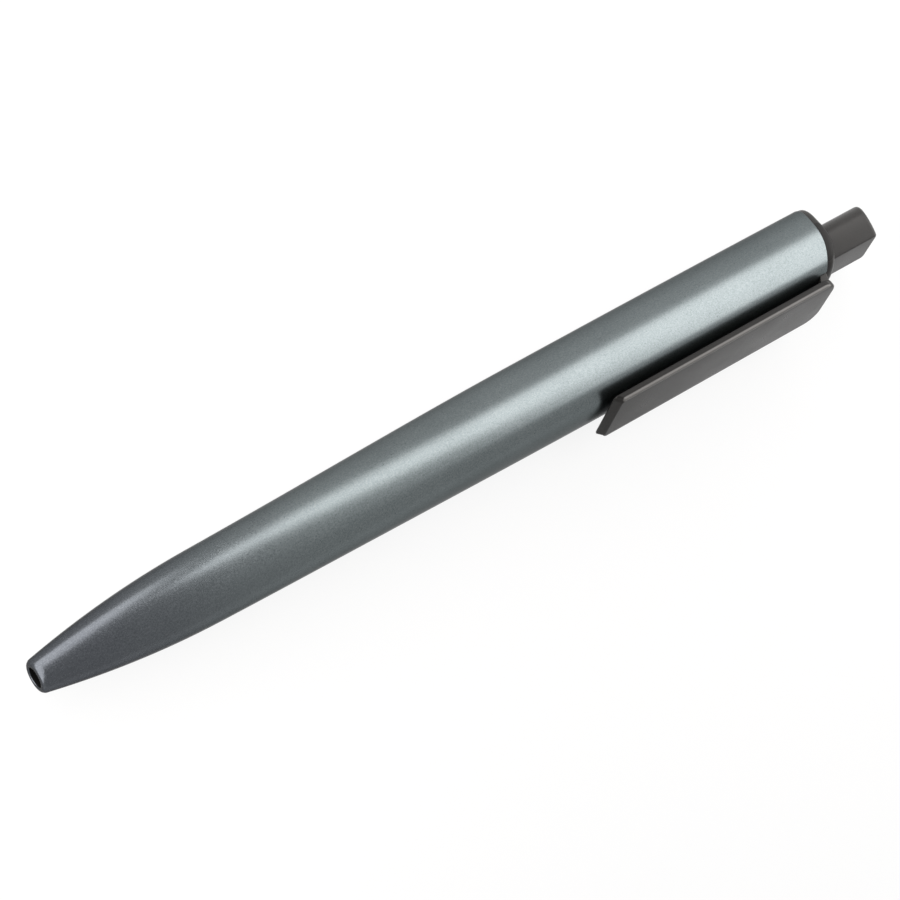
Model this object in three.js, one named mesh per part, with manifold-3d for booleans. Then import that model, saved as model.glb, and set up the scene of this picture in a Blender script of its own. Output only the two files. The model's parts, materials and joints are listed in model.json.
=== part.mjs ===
import * as THREE from 'three';
import { mergeVertices } from 'three/addons/utils/BufferGeometryUtils.js';
import Module from 'manifold-3d';

const wasm = await Module();
wasm.setup();

// Pushbutton ballpoint pen, tip drawn in. Lengths are millimetres and angles are degrees.
// Stations run along X from the nose face at 0 towards the button. The clip is on the -Y side,
// and angles round the pen are measured from the clip direction.

// Barrel
const REAR_RADIUS = 5.9;
const BODY_TAPER = 1.5;
const NOSE_RADIUS = 2.15;
const NOSE_LENGTH = 24;
const NOSE_EDGE_ROUND = 0.3;
const LOBE_START = 24;
const LOBE_END = 76;
const TRIANGLE_LOBE = 0.5;
const OVAL_LOBE = 0.15;
const REAR_SLANT = 0.42;
const NOSE_HOLE_RADIUS = 1.33;
const NOSE_HOLE_LENGTH = 3;
const NOSE_HOLE_CHAMFER = 0.15;
const GUIDE_BORE_RADIUS = 1.9;
const SPRING_SEAT_STATION = 8;
const SPRING_BORE_RADIUS = 2.75;
const SPRING_BORE_LENGTH = 4;
const BORE_TAPER_LENGTH = 16;
const MAIN_BORE_RADIUS = 4;

// Refill
const TIP_SETBACK = 1.5;
const REFILL_LENGTH = 107;
const BALL_RADIUS = 0.5;
const BALL_CLEARANCE = 0.06;
const SOCKET_LIP_RADIUS = 0.62;
const POINT_CONE_LENGTH = 3.1;
const POINT_RADIUS = 1.15;
const POINT_LENGTH = 8.7;
const POINT_TAIL_RADIUS = 0.6;
const POINT_TAIL_LENGTH = 2.6;
const INK_DUCT_RADIUS = 0.25;
const ADAPTER_FLANGE_LENGTH = 1.5;
const ADAPTER_STEM_LENGTH = 3;
const TUBE_RADIUS = 1.55;
const TUBE_WALL = 0.4;
const STOP_STATION = 33;
const STOP_RADIUS = 2.4;
const STOP_LENGTH = 1.4;
const STOP_HALF_ANGLE = 14;
const STOP_COUNT = 4;
const INK_LENGTH = 78;
const FOLLOWER_LENGTH = 4;

// Return spring
const WIRE_RADIUS = 0.2;
const SPRING_RADIUS = 2.2;
const END_COILS = 2;
const END_PITCH = 0.86;
const MIDDLE_COILS = 11;

// Click mechanism
const STROKE = 6.4;
const TOOTH_COUNT = 8;
const TOOTH_RISE = 1.7;
const TOOTH_DRAFT = 1.5;
const FIN_COUNT = 4;
const FIN_HALF_ANGLE = 9.5;
const FIN_LENGTH = 2.8;
const FIN_RADIUS = 3.35;
const ROTOR_RADIUS = 2.4;
const ROTOR_PLAY = 2;
const ROTOR_CORE_LENGTH = 1.9;
const PILOT_RADIUS = 1.6;
const PILOT_LENGTH = 3.8;
const SOCKET_DEPTH = 4;
const SOCKET_CLEARANCE = 0.2;
const GROOVE_HALF_ANGLE = 12;
const LOCK_WALL_ANGLE = 1.5;
const DROP_PAST_RIBS = 0.25;
const SLEEVE_RADIUS = 4.25;
const SLEEVE_LEAD = 1.5;
const SLEEVE_END_WALL = 1.5;
const WING_LENGTH = 2.5;
const CROWN_STEM_RADIUS = 1.95;
const CROWN_STEM_LENGTH = 10.4;
const CROWN_FLOOR = 1.5;

// Collar, button and clip
const SPIGOT_RADIUS = 4.65;
const SPIGOT_LENGTH = 10.14;
const COLLAR_RISE = 3.7;
const COLLAR_SHOULDER = 1.9;
const COLLAR_SHOULDER_INSET = 0.15;
const COLLAR_CROWN_RADIUS = 2.6;
const COLLAR_CROWN_SLANT = 0.28;
const BUTTON_LENGTH = 15.2;
const BUTTON_RADIUS = 3.7;
const BUTTON_OFFSET = 0.85;
const BUTTON_FLAT = 3.34;
const BUTTON_CORNER = 0.35;
const BUTTON_END_ROUND = 0.55;
const BUTTON_END_SLANT = 0.22;
const BUTTON_SOCKET_RADIUS = 2.05;
const CLIP_LENGTH = 40.6;
const CLIP_WIDTH = 9.8;
const CLIP_THICKNESS = 1.2;
const CLIP_OUTER = 7.25;
const CLIP_REAR_INSET = 2.3;
const CLIP_EDGE = 0.22;
const CLIP_END_SLOPE = 0.65;
const CLIP_FRONT_CORNER = 0.8;
const CLIP_REAR_CORNER = 2.4;
const BEAD_RADIUS = 0.9;
const BEAD_HEIGHT = 0.45;
const BEAD_SETBACK = 3.4;
const NECK_WIDTH = 7.3;
const NECK_LENGTH = 1.6;
const NECK_SLANT = 1.1;
const NECK_STRAIGHT = 0.65;
const NECK_BACK_GAP = 0.2;
const FOOT_DEPTH = 4.05;
const FOOT_WIDTH = 4.4;
const FOOT_LENGTH = 1.2;

// Fits
const SEAT_GAP = 0.3;
const SLIDE_FIT = 0.1;
const PASSAGE_FIT = 0.15;
const HOOK_FIT = 0.2;

// Fineness of the round shapes
const ROUND_SEGMENTS = 32;
const SMALL_SEGMENTS = 24;
const CORNER_SEGMENTS = 4;

// Stations that follow from the sizes above
const adapterStation = TIP_SETBACK + POINT_LENGTH + SEAT_GAP;
const tubeStart = adapterStation + ADAPTER_FLANGE_LENGTH + SEAT_GAP;
const tubeEnd = TIP_SETBACK + REFILL_LENGTH;
const inkStart = tubeStart + ADAPTER_STEM_LENGTH + SEAT_GAP;
const rotorFront = tubeEnd - SOCKET_DEPTH;
const socketFloor = tubeEnd + SEAT_GAP;
const toothBase = socketFloor + ROTOR_CORE_LENGTH;
const toothPitch = 360 / TOOTH_COUNT;
const finPitch = 360 / FIN_COUNT;
const toothSlope = TOOTH_RISE / (toothPitch - TOOTH_DRAFT);
const finPeak = toothBase + TOOTH_RISE;
const finFront = toothBase - FIN_LENGTH;
const ribFront = finPeak - STROKE + DROP_PAST_RIBS;
const crownLag = toothPitch / 2;
const crownBase = toothBase + toothSlope * (crownLag + ROTOR_PLAY) + SLIDE_FIT;
const wingFront = crownBase + TOOTH_RISE + HOOK_FIT;
const wingBack = wingFront + WING_LENGTH;
const stopFace = wingBack + SEAT_GAP;
const sleeveFront = finFront - STROKE - SLEEVE_LEAD;
const sleeveRear = stopFace + SLEEVE_END_WALL;
const sleeveBore = FIN_RADIUS + SLIDE_FIT;
const ribRadius = ROTOR_RADIUS + PASSAGE_FIT;
const spigotFront = sleeveRear + SEAT_GAP;
const barrelLength = spigotFront + SPIGOT_LENGTH;
const buttonFront = sleeveRear + STROKE + SEAT_GAP;
const crownShoulder = buttonFront - SEAT_GAP;
const tubeBore = TUBE_RADIUS - TUBE_WALL;
const clipInner = CLIP_OUTER - CLIP_THICKNESS;
const clipRear = barrelLength - CLIP_REAR_INSET;
const clipFront = clipRear - CLIP_LENGTH;
const neckBack = barrelLength - REAR_SLANT * (REAR_RADIUS - OVAL_LOBE) - NECK_BACK_GAP;
const neckFront = neckBack - NECK_LENGTH;
const notchFront = neckFront - NECK_SLANT - HOOK_FIT;

const materials = {
  paint: { color: 0x5d6c6d, roughness: 0.34, metalness: 0.75 },
  darkPlastic: { color: 0x3a3735, roughness: 0.48, metalness: 0.15 },
  whitePlastic: { color: 0xd9d8d2, roughness: 0.5, metalness: 0 },
  tubePlastic: { color: 0xc9cdd0, roughness: 0.3, metalness: 0 },
  steel: { color: 0xb4b6b8, roughness: 0.28, metalness: 1 },
  brass: { color: 0xb89a5a, roughness: 0.32, metalness: 1 },
  ink: { color: 0x10142c, roughness: 0.2, metalness: 0 },
  grease: { color: 0xd8c98a, roughness: 0.25, metalness: 0 },
};

const radians = THREE.MathUtils.degToRad;

// A closed geometry as a solid that can be cut and joined.
function solid(geometry) {
  geometry.deleteAttribute('normal');
  geometry.deleteAttribute('uv');
  const merged = mergeVertices(geometry, 1e-4);
  const corners = merged.index.array;
  const kept = [];
  for (let i = 0; i < corners.length; i += 3) {
    const [a, b, c] = corners.slice(i, i + 3);
    if (a !== b && b !== c && c !== a) kept.push(a, b, c);
  }
  return new wasm.Manifold(new wasm.Mesh({
    numProp: 3,
    vertProperties: new Float32Array(merged.attributes.position.array),
    triVerts: new Uint32Array(kept),
  }));
}

function joined(first, ...others) {
  return others.reduce((whole, other) => whole.add(other), first);
}

// A piece turned about the pen's axis from a profile of [station, radius] points.
function turned(profile, segments = ROUND_SEGMENTS) {
  return solid(turnedGeometry(profile, segments));
}

function turnedGeometry(profile, segments = ROUND_SEGMENTS) {
  const points = profile.map(([station, radius]) => new THREE.Vector2(radius, station));
  return new THREE.LatheGeometry(points, segments).rotateZ(-Math.PI / 2);
}

// A tube with square ends, as a closed profile.
function tubeProfile(start, end, inner, outer) {
  return [[start, inner], [start, outer], [end, outer], [end, inner], [start, inner]];
}

// A plain round bar between two stations.
function barProfile(start, end, radius) {
  return [[start, 0], [start, radius], [end, radius], [end, 0]];
}

// A solid through a row of sections, each with the same number of [x, y, z] points. It has flat
// ends, or closes on itself as a ring.
function lofted(sections, isRing = false) {
  const count = sections[0].length;
  const index = [];
  const spans = isRing ? sections.length : sections.length - 1;
  for (let i = 0; i < spans; i += 1) {
    const here = i * count;
    const next = ((i + 1) % sections.length) * count;
    for (let j = 0; j < count; j += 1) {
      const k = (j + 1) % count;
      index.push(here + j, next + k, here + k, here + j, next + j, next + k);
    }
  }
  if (!isRing) {
    const last = (sections.length - 1) * count;
    for (let j = 1; j < count - 1; j += 1) {
      index.push(0, j, j + 1, last, last + j + 1, last + j);
    }
  }
  const geometry = new THREE.BufferGeometry();
  geometry.setAttribute('position', new THREE.Float32BufferAttribute(sections.flat(2), 3));
  geometry.setIndex(index);
  return solid(geometry);
}

// A section at an angle round the pen, from its [station, radius] corners.
function sectionAt(angle, sectionCorners) {
  const [across, up] = [-Math.cos(radians(angle)), -Math.sin(radians(angle))];
  return sectionCorners.map(([station, radius]) => [station, radius * across, radius * up]);
}

// The four corners of a section between two stations and two radii.
function corners(start, end, inner, outer) {
  return [[start, inner], [start, outer], [end, outer], [end, inner]];
}

// Points of the saw edge round the whole ring: each tooth climbs, then drops over its draft.
function sawPoints(phase) {
  const points = [];
  const climb = toothPitch - TOOTH_DRAFT;
  for (let tooth = 0; tooth < TOOTH_COUNT; tooth += 1) {
    for (let step = 0; step <= 3; step += 1) {
      const along = (climb * step) / 3;
      points.push({ angle: phase + tooth * toothPitch + along, rise: along * toothSlope });
    }
  }
  return points;
}

// A box given by its lowest and highest corners.
function block(low, high) {
  const size = high.map((value, axis) => value - low[axis]);
  const middle = high.map((value, axis) => (value + low[axis]) / 2);
  return solid(new THREE.BoxGeometry(...size).translate(...middle));
}

// A shape drawn across the pen, as (y, z), and drawn out along it from one station to another.
function drawnAlong(shape, start, end) {
  const settings = { depth: end - start, bevelEnabled: false };
  const across = new THREE.Matrix4().makeBasis(
    new THREE.Vector3(0, 1, 0),
    new THREE.Vector3(0, 0, 1),
    new THREE.Vector3(1, 0, 0),
  );
  const form = new THREE.ExtrudeGeometry(shape, settings).applyMatrix4(across);
  return solid(form.translate(start, 0, 0));
}

// How far the rounded-triangle section stands out from a circle at an angle from the clip.
function lobe(y, z) {
  const angle = Math.atan2(z, -y);
  return OVAL_LOBE * Math.cos(2 * angle) - TRIANGLE_LOBE * Math.cos(3 * angle);
}

// The barrel's mean radius: one long curve to the rear, drawn in quickly over the nose.
function barrelRadius(station) {
  const body = 1 - station / barrelLength;
  const nose = Math.max(0, 1 - station / NOSE_LENGTH);
  const noseTaper = REAR_RADIUS - BODY_TAPER - NOSE_RADIUS;
  return REAR_RADIUS - BODY_TAPER * body ** 2 - noseTaper * nose ** 2;
}

function lobeShare(station) {
  return THREE.MathUtils.smoothstep(station, LOBE_START, LOBE_END);
}

// Stations of the barrel's outer curve: close together on the nose, wider along the body.
function barrelStations() {
  const stations = [];
  const noseSteps = 9;
  for (let i = 1; i <= noseSteps; i += 1) {
    stations.push(NOSE_EDGE_ROUND + (NOSE_LENGTH - NOSE_EDGE_ROUND) * (i / noseSteps));
  }
  const bodySteps = 9;
  for (let i = 1; i <= bodySteps; i += 1) {
    stations.push(NOSE_LENGTH + (barrelLength - NOSE_LENGTH) * (i / bodySteps));
  }
  return stations;
}

function barrelSkin() {
  const rearOver = REAR_SLANT * (REAR_RADIUS + TRIANGLE_LOBE) + 1;
  const profile = [[0, 0], [0, NOSE_RADIUS - NOSE_EDGE_ROUND]];
  profile.push([NOSE_EDGE_ROUND * 0.3, NOSE_RADIUS - NOSE_EDGE_ROUND * 0.3]);
  profile.push([NOSE_EDGE_ROUND, barrelRadius(NOSE_EDGE_ROUND)]);
  for (const station of barrelStations()) {
    profile.push([station, barrelRadius(station)]);
  }
  profile.push([barrelLength + rearOver, REAR_RADIUS], [barrelLength + rearOver, 0]);
  const geometry = turnedGeometry(profile);
  const position = geometry.attributes.position;
  for (let i = 0; i < position.count; i += 1) {
    const [x, y, z] = [position.getX(i), position.getY(i), position.getZ(i)];
    const radius = Math.hypot(y, z);
    if (radius > 0) {
      const scale = 1 + (lobe(y, z) * lobeShare(x)) / radius;
      position.setXYZ(i, x, y * scale, z * scale);
    }
  }
  return solid(geometry);
}

// Everything behind the slanted rear rim, moved along X by an offset.
function behindRim(offset) {
  const size = 60;
  const box = new THREE.BoxGeometry(size, size, size).translate(size / 2, 0, 0);
  box.rotateZ(-Math.atan(REAR_SLANT)).translate(barrelLength + offset, 0, 0);
  return solid(box);
}

function barrelBore() {
  const sleeveSeatRadius = SLEEVE_RADIUS + PASSAGE_FIT;
  const spigotBore = SPIGOT_RADIUS + SLIDE_FIT;
  const taperStart = SPRING_SEAT_STATION + SPRING_BORE_LENGTH;
  const overshoot = barrelLength + 10;
  return turned([
    [-1, 0],
    [-1, NOSE_HOLE_RADIUS + NOSE_HOLE_CHAMFER],
    [0, NOSE_HOLE_RADIUS + NOSE_HOLE_CHAMFER],
    [NOSE_HOLE_CHAMFER, NOSE_HOLE_RADIUS],
    [NOSE_HOLE_LENGTH, NOSE_HOLE_RADIUS],
    [NOSE_HOLE_LENGTH + GUIDE_BORE_RADIUS - NOSE_HOLE_RADIUS, GUIDE_BORE_RADIUS],
    [SPRING_SEAT_STATION, GUIDE_BORE_RADIUS],
    [SPRING_SEAT_STATION, SPRING_BORE_RADIUS],
    [taperStart, SPRING_BORE_RADIUS],
    [taperStart + BORE_TAPER_LENGTH, MAIN_BORE_RADIUS],
    [sleeveFront - SEAT_GAP, MAIN_BORE_RADIUS],
    [sleeveFront - SEAT_GAP, sleeveSeatRadius],
    [sleeveRear, sleeveSeatRadius],
    [sleeveRear, spigotBore],
    [overshoot, spigotBore],
    [overshoot, 0],
  ]);
}

// The slot in the rear rim that the clip's neck comes out of.
function rimNotch() {
  const half = NECK_WIDTH / 2 + HOOK_FIT;
  return block([notchFront, -REAR_RADIUS * 2, -half], [barrelLength, 0, half]);
}

function makeBarrel() {
  return barrelSkin().subtract(barrelBore()).subtract(behindRim(0)).subtract(rimNotch());
}

// The button's outline across the pen: round, with one flat towards the clip.
function buttonShape(grow = 0) {
  const radius = BUTTON_RADIUS + grow;
  const flat = BUTTON_FLAT + grow;
  const half = Math.sqrt(radius ** 2 - (flat - BUTTON_OFFSET) ** 2);
  const trimmed = Math.atan2(half, BUTTON_OFFSET - flat) - BUTTON_CORNER / radius;
  const back = new THREE.EllipseCurve(-BUTTON_OFFSET, 0, radius, radius, -trimmed, trimmed);
  const backPoints = back.getPoints(SMALL_SEGMENTS);
  const corner = new THREE.QuadraticBezierCurve(
    backPoints.at(-1),
    new THREE.Vector2(-flat, half),
    new THREE.Vector2(-flat, half - BUTTON_CORNER),
  ).getPoints(CORNER_SEGMENTS).slice(1);
  const mirrored = corner.map((point) => new THREE.Vector2(point.x, -point.y)).reverse();
  return new THREE.Shape([...backPoints, ...corner, ...mirrored]);
}

// The button's outline at a station, drawn in by an inset on all sides.
function buttonSection(station, inset, slant) {
  const scale = 1 - inset / BUTTON_RADIUS;
  return buttonShape().getPoints().map(({ x, y }) => {
    const across = (x + BUTTON_OFFSET / 2) * scale - BUTTON_OFFSET / 2;
    return [station + slant * across, across, y * scale];
  });
}

function makeButton() {
  const sections = [];
  const end = buttonFront + BUTTON_LENGTH;
  for (let i = CORNER_SEGMENTS; i >= 0; i -= 1) {
    const turn = radians((90 * i) / CORNER_SEGMENTS);
    const station = end - BUTTON_END_ROUND * (1 - Math.sin(turn));
    sections.push(buttonSection(station, BUTTON_END_ROUND * (1 - Math.cos(turn)), BUTTON_END_SLANT));
  }
  sections.push(buttonSection(buttonFront + BUTTON_CORNER, 0, 0));
  sections.push(buttonSection(buttonFront, BUTTON_CORNER, 0));
  const socketEnd = crownShoulder + CROWN_STEM_LENGTH + SEAT_GAP;
  const socket = turned(barProfile(buttonFront - 1, socketEnd, BUTTON_SOCKET_RADIUS), SMALL_SEGMENTS);
  return lofted(sections).subtract(socket);
}

// The dome of the collar in profile, from the rim to the hole for the button.
function collarDome(rim) {
  const edge = REAR_RADIUS - COLLAR_SHOULDER_INSET / 3;
  const curve = new THREE.QuadraticBezierCurve(
    new THREE.Vector2(rim, edge),
    new THREE.Vector2(rim + COLLAR_SHOULDER, REAR_RADIUS - COLLAR_SHOULDER_INSET),
    new THREE.Vector2(rim + COLLAR_RISE, COLLAR_CROWN_RADIUS),
  );
  return curve.getPoints(8).map((point) => [point.x, point.y]);
}

function collarBlank() {
  const rim = barrelLength + HOOK_FIT;
  const geometry = turnedGeometry([
    [spigotFront, 0],
    [spigotFront, SPIGOT_RADIUS],
    [rim, SPIGOT_RADIUS],
    ...collarDome(rim),
    [rim + COLLAR_RISE, 0],
  ]);
  const position = geometry.attributes.position;
  for (let i = 0; i < position.count; i += 1) {
    const [station, y, z] = [position.getX(i), position.getY(i), position.getZ(i)];
    if (station > barrelLength) {
      const radius = Math.hypot(y, z);
      const onDome = radius > COLLAR_CROWN_RADIUS && Math.abs(radius - SPIGOT_RADIUS) > 1e-3;
      const share = onDome ? (radius - COLLAR_CROWN_RADIUS) / (REAR_RADIUS - COLLAR_CROWN_RADIUS) : 0;
      const scale = radius > 0 ? 1 + (lobe(y, z) * share) / radius : 1;
      const climb = (station - rim) / COLLAR_RISE;
      const slant = THREE.MathUtils.lerp(REAR_SLANT, COLLAR_CROWN_SLANT, climb);
      position.setXYZ(i, station + slant * y * scale, y * scale, z * scale);
    }
  }
  return solid(geometry);
}

function makeCollar() {
  const hole = drawnAlong(buttonShape(PASSAGE_FIT), spigotFront - 1, barrelLength * 1.1);
  const half = NECK_WIDTH / 2 + HOOK_FIT;
  const footFront = neckFront - FOOT_LENGTH - HOOK_FIT;
  const pocket = block(
    [footFront, -REAR_RADIUS * 2, -half],
    [neckBack + HOOK_FIT, HOOK_FIT - FOOT_DEPTH, half],
  );
  return collarBlank().subtract(hole).subtract(pocket);
}

// The clip's outline seen from above, a rectangle with small front and larger rear corners.
function clipPlan() {
  const half = CLIP_WIDTH / 2;
  const shape = new THREE.Shape();
  const [front, rear] = [CLIP_FRONT_CORNER, CLIP_REAR_CORNER];
  shape.moveTo(clipFront + front, -half);
  shape.lineTo(clipRear - rear, -half);
  shape.quadraticCurveTo(clipRear, -half, clipRear, -half + rear);
  shape.lineTo(clipRear, half - rear);
  shape.quadraticCurveTo(clipRear, half, clipRear - rear, half);
  shape.lineTo(clipFront + front, half);
  shape.quadraticCurveTo(clipFront, half, clipFront, half - front);
  shape.lineTo(clipFront, -half + front);
  shape.quadraticCurveTo(clipFront, -half, clipFront + front, -half);
  return shape;
}

// The flat blade. Its front end leans forward on the inside, so that a hem slides under it.
function clipBlade() {
  const blade = new THREE.ExtrudeGeometry(clipPlan(), {
    depth: CLIP_THICKNESS - 2 * CLIP_EDGE,
    curveSegments: CORNER_SEGMENTS,
    bevelEnabled: true,
    bevelThickness: CLIP_EDGE,
    bevelSize: CLIP_EDGE,
    bevelOffset: -CLIP_EDGE,
    bevelSegments: 2,
  });
  blade.rotateX(-Math.PI / 2).translate(0, CLIP_EDGE - CLIP_OUTER, 0);
  const position = blade.attributes.position;
  for (let i = 0; i < position.count; i += 1) {
    const station = position.getX(i);
    const depth = (position.getY(i) + CLIP_OUTER) / CLIP_THICKNESS;
    if (station < clipFront + CLIP_FRONT_CORNER) position.setX(i, station - CLIP_END_SLOPE * depth);
  }
  return solid(blade);
}

// The low round rib under the front of the clip that grips a pocket edge.
function clipBead() {
  const half = CLIP_WIDTH / 4;
  const rib = new THREE.CylinderGeometry(BEAD_RADIUS, BEAD_RADIUS, 2 * half, SMALL_SEGMENTS);
  rib.rotateX(Math.PI / 2);
  rib.translate(clipFront + BEAD_SETBACK, -clipInner - BEAD_RADIUS + BEAD_HEIGHT, 0);
  const inside = block(
    [clipFront, -clipInner - CLIP_THICKNESS / 2, -CLIP_WIDTH],
    [clipRear, 0, CLIP_WIDTH],
  );
  return solid(rib).intersect(inside);
}

// The neck in side view: a straight root, then a front face that leans forward to the blade.
function clipNeck() {
  const shape = new THREE.Shape();
  const bladeDepth = -clipInner - CLIP_THICKNESS / 2;
  shape.moveTo(neckFront, -FOOT_DEPTH);
  shape.lineTo(neckFront, -FOOT_DEPTH - NECK_STRAIGHT);
  shape.quadraticCurveTo(neckFront, -clipInner, neckFront - NECK_SLANT, -clipInner);
  shape.lineTo(neckFront - NECK_SLANT, bladeDepth);
  shape.lineTo(neckBack, bladeDepth);
  shape.lineTo(neckBack, -FOOT_DEPTH);
  const settings = { depth: NECK_WIDTH, bevelEnabled: false, curveSegments: 6 };
  return solid(new THREE.ExtrudeGeometry(shape, settings).translate(0, 0, -NECK_WIDTH / 2));
}

// The foot hooks under the barrel wall ahead of the neck.
function clipFoot() {
  const half = FOOT_WIDTH / 2;
  const radius = SPIGOT_RADIUS - SLIDE_FIT;
  const tongue = block(
    [neckFront - FOOT_LENGTH, -REAR_RADIUS, -half],
    [neckFront + NECK_LENGTH / 2, -FOOT_DEPTH, half],
  );
  return tongue.intersect(turned(barProfile(neckFront - 9, neckBack, radius)));
}

function makeClip() {
  return joined(clipBlade(), clipBead(), clipNeck(), clipFoot());
}

// Ribs between the sleeve's grooves. Their front edges climb to a wall that stops a fin half way,
// and climb again to the next groove.
function sleeveRib(startAngle) {
  const first = GROOVE_HALF_ANGLE;
  const wall = first + toothPitch - TOOTH_DRAFT;
  const last = finPitch - GROOVE_HALF_ANGLE;
  const foot = wall + LOCK_WALL_ANGLE;
  const edge = [
    [first, 0],
    [(first + wall) / 2, (wall - first) / 2],
    [wall, wall - first],
    [foot, 0],
    [last, last - foot],
  ];
  const rear = stopFace + SLEEVE_END_WALL / 2;
  return lofted(edge.map(([angle, climb]) => sectionAt(
    startAngle + angle,
    corners(ribFront + climb * toothSlope, rear, ribRadius, sleeveBore + SLIDE_FIT),
  )));
}

function makeSleeve() {
  const tube = turned(tubeProfile(sleeveFront, sleeveRear, sleeveBore, SLEEVE_RADIUS));
  const endWall = turned(tubeProfile(stopFace, sleeveRear, ribRadius, sleeveBore + SLIDE_FIT));
  const ribs = [];
  for (let i = 0; i < FIN_COUNT; i += 1) {
    ribs.push(sleeveRib(i * finPitch));
  }
  return joined(tube, endWall, ...ribs);
}

// A fin or wing between two stations. Its rear edge may climb with the angle.
function finSector(middle, start, end, climb, outer) {
  const root = ROTOR_RADIUS - SLIDE_FIT;
  return lofted([-1, 0, 1].map((step) => sectionAt(
    middle + step * FIN_HALF_ANGLE,
    corners(start, end + climb * step * FIN_HALF_ANGLE, root, outer),
  )));
}

function makeRotor() {
  const phase = FIN_HALF_ANGLE - (toothPitch - TOOTH_DRAFT);
  const socketRadius = TUBE_RADIUS + SOCKET_CLEARANCE;
  const ring = lofted(sawPoints(phase).map(({ angle, rise }) => sectionAt(
    angle,
    corners(rotorFront, toothBase + rise, socketRadius, ROTOR_RADIUS),
  )), true);
  const core = turned([
    [socketFloor, 0],
    [socketFloor, socketRadius + SLIDE_FIT],
    [toothBase - SLIDE_FIT, socketRadius + SLIDE_FIT],
    [toothBase - SLIDE_FIT, PILOT_RADIUS],
    [toothBase + PILOT_LENGTH, PILOT_RADIUS],
    [toothBase + PILOT_LENGTH, 0],
  ], SMALL_SEGMENTS);
  const fins = [];
  for (let i = 0; i < FIN_COUNT; i += 1) {
    const middleTop = finPeak - toothSlope * FIN_HALF_ANGLE;
    fins.push(finSector(i * finPitch, finFront, middleTop, toothSlope, FIN_RADIUS));
  }
  return joined(ring, core, ...fins);
}

function makeCrown() {
  const phase = FIN_HALF_ANGLE - (toothPitch - TOOTH_DRAFT) + crownLag;
  const bore = PILOT_RADIUS + PASSAGE_FIT;
  const ring = lofted(sawPoints(phase).map(({ angle, rise }) => sectionAt(
    angle,
    corners(crownBase + rise, crownShoulder, bore, ROTOR_RADIUS),
  )), true);
  const stem = turned([
    [crownShoulder - CROWN_FLOOR, 0],
    [crownShoulder - CROWN_FLOOR, bore + SLIDE_FIT],
    [crownShoulder - SLIDE_FIT, bore + SLIDE_FIT],
    [crownShoulder - SLIDE_FIT, CROWN_STEM_RADIUS],
    [crownShoulder + CROWN_STEM_LENGTH, CROWN_STEM_RADIUS],
    [crownShoulder + CROWN_STEM_LENGTH, 0],
  ], SMALL_SEGMENTS);
  const wings = [];
  for (let i = 0; i < FIN_COUNT; i += 1) {
    wings.push(finSector(i * finPitch, wingFront, wingBack, 0, FIN_RADIUS));
  }
  return joined(ring, stem, ...wings);
}

class CoilCurve extends THREE.Curve {
  constructor(start, end) {
    super();
    this.start = start;
    this.endRise = END_COILS * END_PITCH;
    this.middleRise = end - start - 2 * this.endRise;
    this.turns = MIDDLE_COILS + 2 * END_COILS;
  }

  getPoint(share, target = new THREE.Vector3()) {
    const turn = share * this.turns;
    const opening = Math.min(turn, END_COILS) * END_PITCH;
    const middle = THREE.MathUtils.clamp(turn - END_COILS, 0, MIDDLE_COILS);
    const closing = Math.max(0, turn - END_COILS - MIDDLE_COILS) * END_PITCH;
    const station = this.start + opening + (this.middleRise * middle) / MIDDLE_COILS + closing;
    const angle = turn * 2 * Math.PI;
    return target.set(station, SPRING_RADIUS * Math.cos(angle), SPRING_RADIUS * Math.sin(angle));
  }
}

// The least gap between one turn of the coil and the next, measured on points along the wire.
function coilGap(curve, stepsPerTurn) {
  const steps = curve.turns * stepsPerTurn;
  const points = [];
  for (let i = 0; i <= steps; i += 1) points.push(curve.getPoint(i / steps));
  let least = Infinity;
  for (let i = 0; i < points.length; i += 1) {
    for (let j = i + Math.floor(stepsPerTurn / 2); j < points.length; j += 1) {
      least = Math.min(least, points[i].distanceTo(points[j]));
    }
  }
  return least - 2 * WIRE_RADIUS;
}

function makeSpring() {
  const start = SPRING_SEAT_STATION + SEAT_GAP + WIRE_RADIUS;
  const end = STOP_STATION - SEAT_GAP - WIRE_RADIUS;
  const curve = new CoilCurve(start, end);
  const stepsPerTurn = 8;
  const sides = 5;
  const section = new THREE.Shape();
  for (let i = 0; i < sides; i += 1) {
    const angle = (i / sides) * 2 * Math.PI;
    const point = [WIRE_RADIUS * Math.cos(angle), WIRE_RADIUS * Math.sin(angle)];
    if (i === 0) section.moveTo(...point);
    else section.lineTo(...point);
  }
  console.log(`least gap between the spring's turns ${coilGap(curve, 36).toFixed(2)} mm`);
  return solid(new THREE.ExtrudeGeometry(section, {
    steps: curve.turns * stepsPerTurn,
    extrudePath: curve,
    bevelEnabled: false,
  }));
}

function makePoint() {
  const lip = TIP_SETBACK + BALL_RADIUS - BALL_RADIUS / 2;
  const ballCentre = TIP_SETBACK + BALL_RADIUS;
  const socket = BALL_RADIUS + BALL_CLEARANCE;
  const coneEnd = TIP_SETBACK + POINT_CONE_LENGTH;
  const shoulder = TIP_SETBACK + POINT_LENGTH;
  const tailEnd = shoulder + POINT_TAIL_LENGTH;
  const lipBore = Math.sqrt(BALL_RADIUS ** 2 - (ballCentre - lip) ** 2) + BALL_CLEARANCE;
  return turned([
    [lip, lipBore],
    [lip, SOCKET_LIP_RADIUS],
    [coneEnd, POINT_RADIUS],
    [shoulder, POINT_RADIUS],
    [shoulder, POINT_TAIL_RADIUS],
    [tailEnd, POINT_TAIL_RADIUS],
    [tailEnd, INK_DUCT_RADIUS],
    [ballCentre + BALL_RADIUS + BALL_CLEARANCE, INK_DUCT_RADIUS],
    [ballCentre + BALL_RADIUS * 0.7, socket],
    [ballCentre, socket],
    [lip, lipBore],
  ], SMALL_SEGMENTS);
}

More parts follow.
